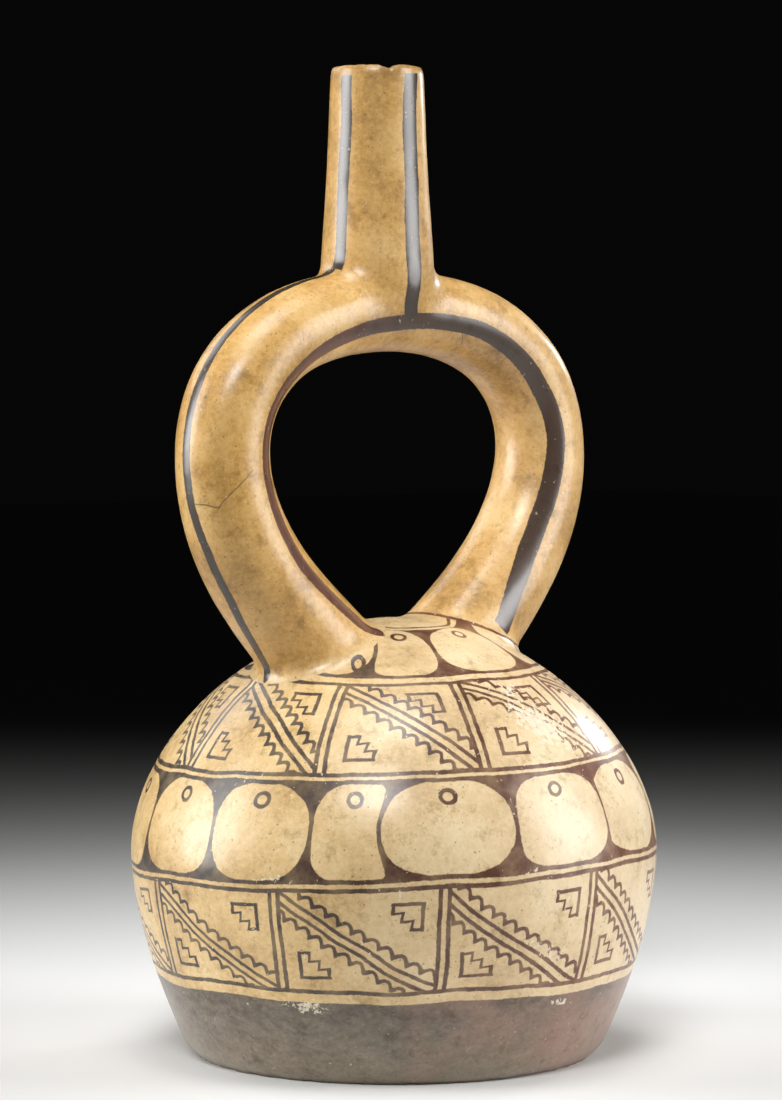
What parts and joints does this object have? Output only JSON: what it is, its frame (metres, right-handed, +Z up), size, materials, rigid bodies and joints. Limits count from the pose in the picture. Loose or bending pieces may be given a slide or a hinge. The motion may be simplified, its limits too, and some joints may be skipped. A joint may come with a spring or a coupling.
{
  "type": "stirrup spout vessel",
  "caption": "Hollow painted ceramic bottle: round chamber on a flat base, with an arched tubular handle that opens into it and carries one tapering spout.",
  "frame": {"origin": "centre of the flat underside", "axes": "+Z up through the spout, +X along the plane of the arched handle, painted front towards -Y"},
  "size_m": [0.1564, 0.1564, 0.2915],
  "materials": {
    "painted_clay": "burnished cream slip with dark brown painted lines, satin"
  },
  "bodies": {
    "root": {"vessel": "painted_clay"}
  },
  "joints": []
}
